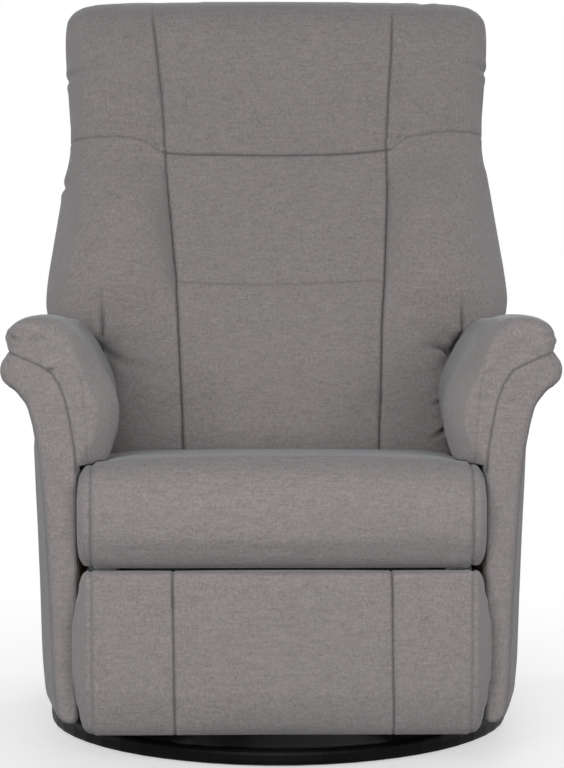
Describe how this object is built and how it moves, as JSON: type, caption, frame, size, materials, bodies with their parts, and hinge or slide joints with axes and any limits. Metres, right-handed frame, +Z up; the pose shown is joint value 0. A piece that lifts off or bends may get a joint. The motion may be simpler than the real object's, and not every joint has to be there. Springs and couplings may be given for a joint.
{
  "type": "power recliner",
  "caption": "Swivel power recliner with a winged back, scroll arms, a tilting head section and a footrest that folds out on crossed links.",
  "frame": {"origin": "on the floor, on the swivel axis, under the middle of the chair", "axes": "+Z up, -Y towards the front where the sitter's feet go, +X to the sitter's left"},
  "size_m": [0.8092, 0.8523, 1.1477],
  "materials": {
    "woven_fabric": "matte woven upholstery",
    "beech_plywood": "sanded",
    "black_powder_coat": "black powder coat",
    "zinc_plated_steel": "bright zinc",
    "black_plastic": "fine grain",
    "grey_plastic": "fine grain",
    "elastic_webbing": "woven band",
    "black_lacquer": "black satin",
    "black_felt": "soft"
  },
  "bodies": {
    "base": {"base_disc": "black_lacquer", "bearing_lower": "black_powder_coat", "floor_pad": "black_felt"},
    "legrest": {"link_a_left": "black_powder_coat", "link_a_right": "black_powder_coat", "torque_tube": "black_powder_coat"},
    "leg_link_b": {"link_b_left": "black_powder_coat", "link_b_right": "black_powder_coat"},
    "leg_link_c": {"link_c_left": "black_powder_coat", "link_c_right": "black_powder_coat"},
    "footrest": {"footrest_board": "beech_plywood", "footrest_bracket_left": "black_powder_coat", "footrest_bracket_right": "black_powder_coat", "footrest_cushion": "woven_fabric"},
    "legrest_rod": {"legrest_rod": "zinc_plated_steel"},
    "recline_rod": {"recline_rod": "zinc_plated_steel"},
    "recline": {"back_cross_bar": "black_powder_coat", "back_cushion": "woven_fabric", "back_pivot_tube": "black_powder_coat", "back_shell": "woven_fabric", "back_upright_left": "black_powder_coat", "back_upright_right": "black_powder_coat"},
    "headrest": {"headrest_cushion": "woven_fabric", "headrest_frame": "black_powder_coat", "headrest_shell": "woven_fabric"},
    "button_back_up": {"button_back_up": "grey_plastic"},
    "button_back_down": {"button_back_down": "grey_plastic"},
    "button_legs_up": {"button_legs_up": "grey_plastic"},
    "button_legs_down": {"button_legs_down": "grey_plastic"},
    "swivel": {"arm_board_left": "beech_plywood", "arm_board_right": "beech_plywood", "arm_bracket_left": "black_powder_coat", "arm_bracket_right": "black_powder_coat", "arm_pad_left": "woven_fabric", "arm_pad_right": "woven_fabric", "arm_panel_left": "woven_fabric", "arm_panel_right": "woven_fabric", "bearing_upper": "black_powder_coat", "control_bezel": "black_plastic", "control_box": "black_plastic", "front_cross_tube": "black_powder_coat", "legrest_motor": "black_plastic", "mounting_plate": "black_powder_coat", "power_inlet": "black_plastic", "rail_left": "black_powder_coat", "rail_right": "black_powder_coat", "rear_cross_tube": "black_powder_coat", "rear_panel": "woven_fabric", "recline_motor": "black_plastic", "seat_cushion": "woven_fabric", "seat_frame_front": "beech_plywood", "seat_frame_left": "beech_plywood", "seat_frame_rear": "beech_plywood", "seat_frame_right": "beech_plywood", "seat_strap_1": "elastic_webbing", "seat_strap_2": "elastic_webbing", "seat_strap_3": "elastic_webbing", "side_plate_left": "black_powder_coat", "side_plate_right": "black_powder_coat"}
  },
  "joints": [
    {"name": "swivel_turn", "type": "hinge", "parent": "base", "child": "swivel", "pos_m": [0, 0, 0.066], "axis": [0, 0, 1], "continuous": true},
    {"name": "legrest_lift", "type": "hinge", "parent": "swivel", "child": "legrest", "pos_m": [0, -0.296, 0.2837], "axis": [-1, 0, 0], "range_deg": [0, 85]},
    {"name": "leg_cross_turn", "type": "hinge", "parent": "legrest", "child": "leg_link_b", "pos_m": [0, -0.30973, 0.17185], "axis": [1, 0, 0], "range_deg": [0, 143.01]},
    {"name": "leg_short_turn", "type": "hinge", "parent": "legrest", "child": "leg_link_c", "pos_m": [0, -0.32347, 0.06], "axis": [1, 0, 0], "range_deg": [0, 143.01]},
    {"name": "footrest_turn", "type": "hinge", "parent": "leg_link_b", "child": "footrest", "pos_m": [0, -0.32347, 0.2837], "axis": [-1, 0, 0], "range_deg": [0, 143.01]},
    {"name": "legrest_rod_push", "type": "slide", "parent": "swivel", "child": "legrest_rod", "axis": [0, -1, 0], "range_m": [0, 0.07422]},
    {"name": "back_recline", "type": "hinge", "parent": "swivel", "child": "recline", "pos_m": [0, 0.17, 0.36], "axis": [-1, 0, 0], "range_deg": [0, 38]},
    {"name": "recline_rod_push", "type": "slide", "parent": "swivel", "child": "recline_rod", "axis": [0, -1, 0], "range_m": [0, 0.0586]},
    {"name": "headrest_tilt", "type": "hinge", "parent": "recline", "child": "headrest", "pos_m": [0, 0.22949, 0.89865], "axis": [1, 0, 0], "range_deg": [0, 30]},
    {"name": "back_up_press", "type": "slide", "parent": "swivel", "child": "button_back_up", "axis": [1, 0, 0], "range_m": [0, 0.0015], "stiffness_N_per_m": 400},
    {"name": "back_down_press", "type": "slide", "parent": "swivel", "child": "button_back_down", "axis": [1, 0, 0], "range_m": [0, 0.0015], "stiffness_N_per_m": 400},
    {"name": "legs_up_press", "type": "slide", "parent": "swivel", "child": "button_legs_up", "axis": [1, 0, 0], "range_m": [0, 0.0015], "stiffness_N_per_m": 400},
    {"name": "legs_down_press", "type": "slide", "parent": "swivel", "child": "button_legs_down", "axis": [1, 0, 0], "range_m": [0, 0.0015], "stiffness_N_per_m": 400}
  ],
  "couplings": [
    {"joint": "leg_cross_turn", "follows": "legrest_lift", "ratio": 1.6824},
    {"joint": "leg_short_turn", "follows": "legrest_lift", "ratio": 1.6824},
    {"joint": "footrest_turn", "follows": "legrest_lift", "ratio": 1.6824},
    {"joint": "legrest_rod_push", "follows": "legrest_lift", "m_per_rad": 0.050031},
    {"joint": "recline_rod_push", "follows": "back_recline", "m_per_rad": 0.088363}
  ]
}
